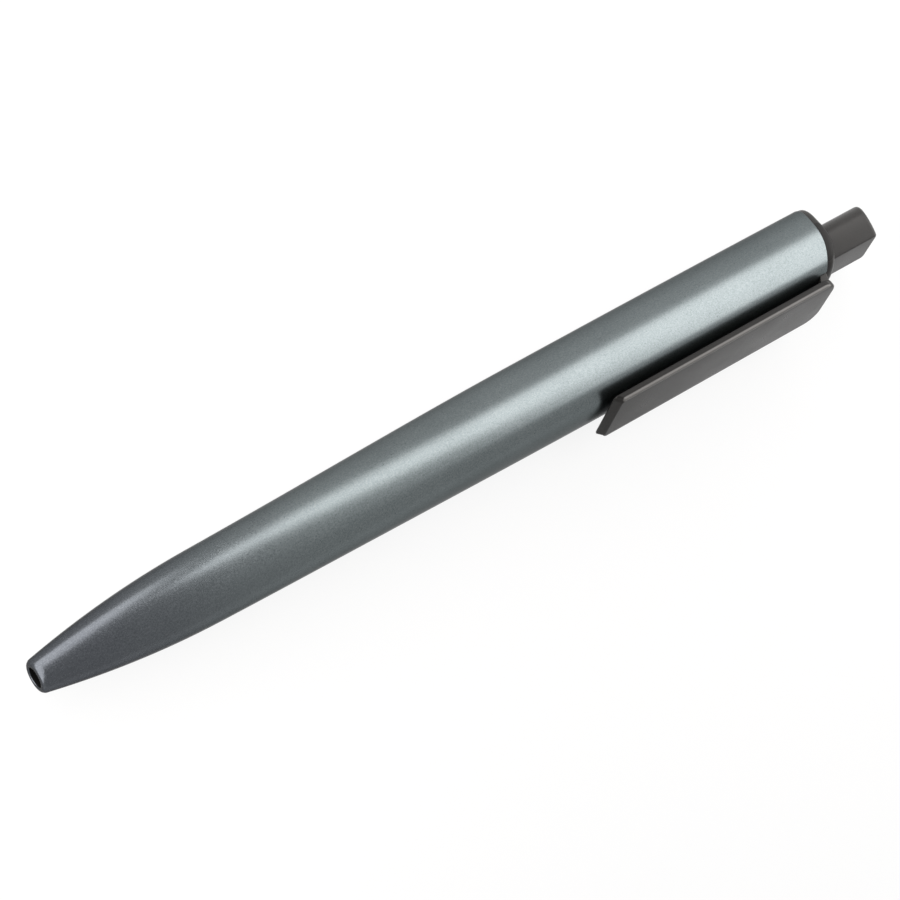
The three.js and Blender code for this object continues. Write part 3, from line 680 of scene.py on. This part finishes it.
NECK_ROOT = 4.05
NECK_STRAIGHT = 4.9
NECK_TOP = 6.6
NECK_LEAN = 0.8
LEAN_ROUND = 0.35
NECK_CORNER = 0.3
TONGUE_REACH = 1.9
TONGUE_ROOT = 0.8
TONGUE_TOP = 4.5
TONGUE_HALF = 2.2
RIB_STATION = CLIP_FRONT + 3.4
RIB_RADIUS = 0.9
RIB_RISE = 0.45
RIB_ROOT = 6.65
RIB_LENGTH = 4.9
PAST_RIB = 8

blade_inside = -CLIP_OUTER + CLIP_THICKNESS
lean_top = NECK_FRONT - NECK_LEAN
lean = rounded(
    (lean_top, blade_inside), (NECK_FRONT, -NECK_STRAIGHT), (lean_top - 1, blade_inside),
    LEAN_ROUND, 6,
)
neck = side_bar(
    [(NECK_FRONT, -NECK_ROOT), (NECK_FRONT, -NECK_STRAIGHT), *lean,
     (lean_top - LEAN_ROUND, -NECK_TOP), (neck_back(-NECK_TOP), -NECK_TOP),
     (neck_back(-NECK_ROOT), -NECK_ROOT)],
    NECK_HALF,
)
rear_verts = {v for v in neck.verts if v.co.x > neck_back(v.co.y) - TOUCHING}
rear_edges = [
    edge for edge in neck.edges
    if rear_verts.issuperset(edge.verts) and edge.verts[0].co.z == edge.verts[1].co.z
]
bmesh.ops.bevel(
    neck, geom=rear_edges, offset=NECK_CORNER, offset_type="OFFSET", segments=5,
    profile=0.5, affect="EDGES", material=-1,
)
tongue = block(
    (NECK_FRONT - TONGUE_REACH, -TONGUE_TOP, -TONGUE_HALF),
    (NECK_FRONT + TONGUE_ROOT, -NECK_ROOT, TONGUE_HALF),
)
rib = bmesh.new()
across = Matrix.Translation((RIB_STATION, blade_inside + RIB_RISE - RIB_RADIUS, 0))
bmesh.ops.create_cone(
    rib, cap_ends=True, segments=48, radius1=RIB_RADIUS, radius2=RIB_RADIUS,
    depth=RIB_LENGTH, matrix=across,
)
below = block(
    (RIB_STATION - PAST_RIB, -RIB_ROOT, -PAST_RIB), (RIB_STATION + PAST_RIB, 0, PAST_RIB)
)
rib = combined(rib, below, "INTERSECT")
for part in (neck, tongue, rib):
    blade = combined(blade, part, "UNION")
clip = finished(blade, "pocket_clip", "clip", "clip", sharp=radians(35))

# %% [markdown]
# ## The return spring
# A wire coil is a small circle that is carried along a helix. The spin operator does it when each
# step also gets a shift along the axis. The end turns lie close together, as on a real spring
# whose ends are closed to stand flat, and the middle turns share what is left. When the button
# is pressed the refill comes forward and the coil gets shorter; the piece gets a mesh of its
# own, and the share of its length that the coil keeps then is printed.

# %% Wind the spring
WIRE = 0.2
COIL_RADIUS = 2.2
SPRING_FRONT = 8.5
SPRING_REAR = 32.5
END_TURNS = 2
END_PITCH = 0.5
MIDDLE_TURNS = 11
TURN_STEPS = 40

coil = bmesh.new()
middle_pitch = (SPRING_REAR - SPRING_FRONT - 2 * END_PITCH * END_TURNS) / MIDDLE_TURNS
turns = [(END_TURNS, END_PITCH), (MIDDLE_TURNS, middle_pitch), (END_TURNS, END_PITCH)]
start = Matrix.Translation((SPRING_FRONT, COIL_RADIUS, 0))
bmesh.ops.create_circle(coil, cap_ends=True, segments=12, radius=WIRE, matrix=start)
wire_end = coil.faces[:]
for count, pitch in turns:
    made = bmesh.ops.spin(
        coil, geom=wire_end, cent=(0, 0, 0), axis=(1, 0, 0), angle=2 * pi * count,
        steps=TURN_STEPS * count, dvec=(pitch / TURN_STEPS, 0, 0), use_duplicate=False,
    )
    wire_end = [item for item in made["geom_last"] if isinstance(item, bmesh.types.BMFace)]
bmesh.ops.remove_doubles(coil, verts=coil.verts, dist=1e-5)
bmesh.ops.recalc_face_normals(coil, faces=coil.faces)
spring = finished(
    coil, "wound_spring", "barrel", "return_spring", sharp=radians(50)
)
press = joints["refill_slide"]["range_m"][1] * 1000
coil_length = SPRING_REAR - SPRING_FRONT + 2 * WIRE
1 - press / coil_length
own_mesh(spring)
print(f"the coil keeps {1 - press / coil_length:.2f} of its length when the pen is pressed")

# %% [markdown]
# ## The writing tip
# The tip is turned brass: a tail that is pressed into the plastic adapter, a plain shank, the
# long cone and the thin lip that holds the ball. It hides inside the nose until the button
# is pressed, and is then the finest detail of the pen, so it gets a rounded cone and a small
# groove behind it, as turned tips have.

# %% Turn the tip
TIP_FRONT = 1.5
BALL = 0.5
SOCKET_GAP = 0.05
CONE_END = 4.6
CONE_RISE = 0.29
CONE_ROUND = 0.5
SHANK = 1.15
GROOVE_START = 5.9
GROOVE_END = 6.2
GROOVE_DEPTH = 0.08
TIP_SHOULDER = 10.2
TAIL = 0.6
TAIL_END = 12.8
INK_HOLE = 0.25
INK_HOLE_START = 2.55

ball_station = TIP_FRONT + BALL
lip = [(1.75, 0.49), (1.75, 0.56), (1.8, 0.61), (2.3, 0.66), (2.42, 0.72)]
tip_edge = rounded(
    (CONE_END, SHANK), (CONE_END - 1, SHANK - CONE_RISE), (CONE_END + 1, SHANK), CONE_ROUND, 6
)
groove = [
    (GROOVE_START, SHANK), (GROOVE_START + GROOVE_DEPTH, SHANK - GROOVE_DEPTH),
    (GROOVE_END - GROOVE_DEPTH, SHANK - GROOVE_DEPTH), (GROOVE_END, SHANK),
]
socket = [
    (ball_station + BALL * sin(angle), BALL * cos(angle) + SOCKET_GAP) for angle in (0, 0.4, 0.8)
]
tip_section = [
    *lip, *tip_edge, *groove, (TIP_SHOULDER, SHANK), (TIP_SHOULDER, TAIL), (TAIL_END, TAIL),
    (TAIL_END, INK_HOLE), (INK_HOLE_START, INK_HOLE), *reversed(socket),
]
point = turned(tip_section, 72, closed=True)
tip = finished(point, "turned_tip", "refill", "writing_tip")

# %% [markdown]
# ## The lacquer
# The barrel's finish is a satin metallic lacquer: a petrol grey with fine aluminium flakes under
# a clear coat that has been sprayed a little dry. Seen close up, the flakes make a grain about a
# tenth of a millimetre wide, some catching the light and some not. The nose is bluer, and it is
# also painted darker: painted shade for the darker surroundings that it mirrors. Both fade into
# the body's colour over forty millimetres. The highlight is soft because the coat is slightly
# rough. The flakes vary the colour, the roughness and the normal together, since it is the same
# grain that does all three. The lacquer stops at the nose hole's lip: the bore behind it is
# painted nearly black, a painted shade for the shade deep in the hole.

# %% Mix the lacquer
BODY_DARK = (0.066, 0.082, 0.085, 1)
BODY_LIGHT = (0.185, 0.208, 0.212, 1)
# The nose colours are bluer and darker than the body's: the blue is a tint, the darkness is
# painted shade.
NOSE_DARK_SHADED = (0.030, 0.035, 0.042, 1)
NOSE_LIGHT_SHADED = (0.110, 0.118, 0.131, 1)
NOSE_TINT_AND_SHADE_ENDS = (4.0, 44.0)
FLAKE_CONTRAST = 1.7
CLOUD_CONTRAST = 0.2
FLAKE_HEIGHT = 0.7
NOSE_ROUGHNESS = 0.25
BODY_ROUGHER = 0.06
FLAKE_ROUGHNESS = 0.2

lacquer = Finish(bpy.data.materials.new("satin_metallic_lacquer"))
place = lacquer.along_pen()
flake = lacquer.noise(place, scale=5.0, detail=4, roughness=0.75)
cloud = lacquer.noise(place, scale=0.12)
peel = lacquer.noise(place, scale=1.6)
share = (flake - 0.5) * FLAKE_CONTRAST + (cloud - 0.5) * CLOUD_CONTRAST + 0.5
past_nose = lacquer.fade(lacquer.along(place, "X"), *NOSE_TINT_AND_SHADE_ENDS)
nose_tint_and_shade = lacquer.mix(share, NOSE_DARK_SHADED, NOSE_LIGHT_SHADED)
body_colour = lacquer.mix(share, BODY_DARK, BODY_LIGHT)
height = flake * FLAKE_HEIGHT + peel * (1 - FLAKE_HEIGHT)
lacquer.surface(
    base_color=lacquer.mix(past_nose, nose_tint_and_shade, body_colour),
    metallic=1.0,
    specular_tint=(0.25, 0.25, 0.25, 1),
    roughness=(flake - 0.5) * FLAKE_ROUGHNESS + past_nose * BODY_ROUGHER + NOSE_ROUGHNESS,
    coat_weight=0.35,
    coat_roughness=0.27,
    normal=lacquer.bump(height, distance=0.00001, strength=0.6),
)
wear(barrel, lacquer.material)

# The bore is painted nearly black: painted shade for the shade deep inside the nose hole.
BORE_SHADE_DARK = (0.002, 0.002, 0.002, 1)
BORE_SHADE_LIGHT = (0.007, 0.0065, 0.0065, 1)
LIP_END = 0.12
BORE_SHADE_SHARE = 0.82
BORE_ROUGHNESS = 0.8
DRAG_ROUGHNESS = 0.2

bore_shade = Finish(bpy.data.materials.new("bore_painted_shade"))
place = bore_shade.along_pen()
drag = bore_shade.noise(place, scale=1.5, detail=3, stretch=(6, 1, 1))
bore_shade.surface(
    base_color=bore_shade.mix(drag, BORE_SHADE_DARK, BORE_SHADE_LIGHT),
    roughness=(drag - 0.5) * DRAG_ROUGHNESS + BORE_ROUGHNESS,
    specular_ior_level=0.03,
    normal=bore_shade.bump(drag, distance=0.00003, strength=0.5),
)
barrel.data.materials.append(bore_shade.material)
inside = 0
# Faces inside the bore take the painted shade.
for polygon in barrel.data.polygons:
    spot = PEN.inverted() @ polygon.center
    radius = Vector((spot.y, spot.z)).length
    if spot.x > LIP_END and radius < BORE_SHADE_SHARE * barrel_radius(spot.x):
        polygon.material_index = 1
        inside += 1
print("bore faces with the bare finish:", inside)

# %% [markdown]
# ## The dark plastic
# The button, the collar and the clip are moulded in a near-black plastic with a warm tinge and a
# satin surface, finely grained by its mould. The grain in the bump scatters the highlight, and
# slow patches of slightly different gloss stand for the places that fingers polish. The clip's
# narrow sides are more matt and are painted darker: painted shade. Its long outer edges are
# painted lighter: a painted highlight along them.

# %% Mix the dark plastic
DEEP = (0.014, 0.0135, 0.0128, 1)
PALE = (0.029, 0.028, 0.0268, 1)
SIDE_WALL_PAINTED_SHADE = (0.004, 0.0038, 0.0036, 1)
EDGE_PAINTED_HIGHLIGHT = (0.190, 0.186, 0.180, 1)
SPARK_SHARE = 0.7
SIDE_SHADE_SHARE = 0.65
EDGE_HIGHLIGHT_SHARE = 0.8
EDGE_INSET = 1.4
EDGE_HIGHLIGHT_START = -0.08
EDGE_HIGHLIGHT_END = 0.12
SATIN_ROUGHNESS = 0.31
SPARK_ROUGHNESS = 0.14
RUB_ROUGHNESS = 0.12
SIDE_ROUGHER = 0.25

dark = Finish(bpy.data.materials.new("satin_dark_plastic"))
place = dark.along_pen()
spark = dark.noise(place, scale=6.0, detail=4, roughness=0.65)
rub = dark.noise(place, scale=0.22)
across = dark.along(place, "Z")
side = across.math("ABSOLUTE", across, 0)
side_wall = side.above(CLIP_HALF - BLADE_EDGE / 3)
edge = CLIP_HALF + CLIP_OUTER - BLADE_EDGE * EDGE_INSET
edge_highlight = dark.fade(side - dark.along(place, "Y"), edge + EDGE_HIGHLIGHT_START, edge + EDGE_HIGHLIGHT_END)
shade = dark.mix(spark * SPARK_SHARE + rub * (1 - SPARK_SHARE), DEEP, PALE)
# Painted shade: the clip's narrow sides are darkened.
shade = dark.mix(side_wall * SIDE_SHADE_SHARE, shade, SIDE_WALL_PAINTED_SHADE)
# Painted highlight: the clip's long outer edges are lightened.
shade = dark.mix(edge_highlight * EDGE_HIGHLIGHT_SHARE, shade, EDGE_PAINTED_HIGHLIGHT)
matt = (spark - 0.5) * SPARK_ROUGHNESS + (rub - 0.5) * RUB_ROUGHNESS + side_wall * SIDE_ROUGHER
dark.surface(
    base_color=shade,
    roughness=matt + SATIN_ROUGHNESS,
    specular_ior_level=0.12,
    normal=dark.bump(spark, distance=0.00002, strength=0.3),
)
for piece in (collar, button, clip):
    wear(piece, dark.material)

# %% [markdown]
# ## The works
# Inside are plain engineering materials. The cam pieces are white moulded acetal with a waxy
# sheen, the ink tube is milky and lets the ink show, the spring is drawn wire with fine marks,
# and the tip is turned, with rings round its axis. All but the tip are seen only when the pen is
# taken apart, but each still gets its own finish.


# %% Finishes for the works
def moulded(name, pale, deep, roughness, **more):
    """A plastic with flow marks along the pen and a fine moulded grain."""
    finish = Finish(bpy.data.materials.new(name))
    place = finish.along_pen()
    grain = finish.noise(place, scale=5.0, detail=3)
    flow = finish.noise(place, scale=0.8, stretch=(0.25, 1, 1))
    return finish.surface(
        base_color=finish.mix(grain * 0.5 + flow * 0.5, deep, pale),
        roughness=(grain - 0.5) * 0.15 + roughness,
        normal=finish.bump(grain, distance=0.00002, strength=0.25),
        **more,
    )


def machined(name, pale, deep, roughness, stretch):
    """A metal with fine tool or drawing marks, which lie across the stretched direction."""
    finish = Finish(bpy.data.materials.new(name))
    place = finish.along_pen()
    marks = finish.noise(place, scale=2.0, detail=4, roughness=0.7, stretch=stretch)
    return finish.surface(
        base_color=finish.mix(marks, deep, pale),
        metallic=1.0,
        roughness=(marks - 0.5) * 0.2 + roughness,
        normal=finish.bump(marks, distance=0.00001, strength=0.4),
    )


acetal = moulded(
    "white_acetal", (0.80, 0.80, 0.77, 1), (0.66, 0.66, 0.63, 1), roughness=0.42
)
tube_wall = moulded(
    "milky_tube", (0.72, 0.74, 0.74, 1), (0.58, 0.60, 0.61, 1), roughness=0.3,
    transmission_weight=0.6,
)
ink = moulded(
    "blue_ink", (0.010, 0.016, 0.11, 1), (0.005, 0.008, 0.06, 1), roughness=0.15
)
grease = moulded(
    "ink_follower_grease", (0.62, 0.55, 0.34, 1), (0.50, 0.43, 0.25, 1), roughness=0.25
)
drawn_steel = machined(
    "drawn_steel", (0.62, 0.62, 0.60, 1), (0.45, 0.45, 0.44, 1), roughness=0.28,
    stretch=(1, 4, 4),
)
polished = machined(
    "polished_ball", (0.66, 0.66, 0.65, 1), (0.58, 0.58, 0.57, 1), roughness=0.12,
    stretch=(2, 2, 2),
)
brass = machined(
    "turned_brass", (0.72, 0.58, 0.30, 1), (0.58, 0.45, 0.22, 1), roughness=0.24,
    stretch=(8, 1, 1),
)
wear(spring, drawn_steel)
wear(tip, brass)
for node, material in (
    ("cam_sleeve", acetal),
    ("cam_crown", acetal),
    ("cam_rotor", acetal),
    ("tip_adapter", acetal),
    ("refill_tube", tube_wall),
    ("ink_column", ink),
    ("ink_follower", grease),
    ("writing_ball", polished),
):
    for holder in frame["nodes"][node].material_slots:
        holder.material = material

# %% [markdown]
# ## The table
# The table is a pale sheet that the background melts into. For the camera it is nearly white by
# itself, and only the part that the pen shades is darker. That keeps a soft contact shadow and
# loses the edge of the table.

# %% Lay the table
TABLE_HALF = 3
SEEN_GLOW = 0.87
MIRRORED_GLOW = 0.94

sheet = bmesh.new()
bmesh.ops.create_grid(sheet, x_segments=1, y_segments=1, size=TABLE_HALF)
mesh = bpy.data.meshes.new("table")
sheet.to_mesh(mesh)
sheet.free()
table = bpy.data.objects.new("table", mesh)
bpy.context.scene.collection.objects.link(table)

paper = Finish(bpy.data.materials.new("pale_table"))
place = paper.node("ShaderNodeTexCoord", {}, {}, output="Object")
fibre = paper.noise(place, scale=300, detail=3)
tone = paper.mix(fibre, (0.9, 0.9, 0.9, 1), (0.94, 0.94, 0.94, 1))
matte = paper.node("ShaderNodeBsdfDiffuse", {}, {"Color": tone})
glow = paper.node("ShaderNodeEmission", {}, {"Color": (1, 1, 1, 1), "Strength": 1.0})
shown = paper.looked_at(SEEN_GLOW, MIRRORED_GLOW)
paper.ended(paper.node("ShaderNodeMixShader", {}, {0: shown, 1: matte, 2: glow}))
wear(table, paper.material)

# %% [markdown]
# ## The lights
# A round satin body shows each lamp as a long bright line, so the lamps are placed by asking
# where a line is wanted. A long softbox low on the far side draws the band along the pen's
# upper edge. A second one overhead, towards the button, makes the broad glow over the rear
# third. The world is a plain pale room: the camera and the mirrored rays see it at full strength,
# and as a light it fills the shadows at a low level.


# %% Hang the softboxes
LAMP_COLOUR = (1.0, 0.975, 0.965)
ROOM_COLOUR = (0.8, 0.8, 0.8, 1)
ROOM_SEEN = 1.0
ROOM_FILL = 0.12


def softbox(name, place, target, size, power):
    """Hangs a rectangular lamp that faces a target."""
    data = bpy.data.lights.new(name, "AREA")
    data.shape = "RECTANGLE"
    data.size, data.size_y = size
    data.energy = power
    data.color = LAMP_COLOUR
    lamp = bpy.data.objects.new(name, data)
    bpy.context.scene.collection.objects.link(lamp)
    lamp.location = place
    lamp.rotation_euler = (Vector(place) - Vector(target)).to_track_quat("Z", "Y").to_euler()


softbox(
    "far_side_softbox", place=(-0.044, 0.180, 0.070), target=(0.394, 0, 0.127),
    size=(0.466, 0.129), power=0.66,
)
softbox(
    "overhead_softbox", place=(0.229, 0.139, 0.181), target=(-0.3, 0, -0.123),
    size=(0.598, 0.338), power=2.45,
)

studio = Finish(bpy.data.worlds.new("studio"))
bpy.context.scene.world = studio.material
strength = studio.node(
    "ShaderNodeMapRange", {},
    {"Value": studio.looked_at(1, 1), "To Min": ROOM_FILL, "To Max": ROOM_SEEN},
)
backdrop = studio.node(
    "ShaderNodeBackground", {}, {"Color": ROOM_COLOUR, "Strength": strength}
)
studio.ended(backdrop, "ShaderNodeOutputWorld")
bpy.context.scene.view_settings.view_transform = "Standard"
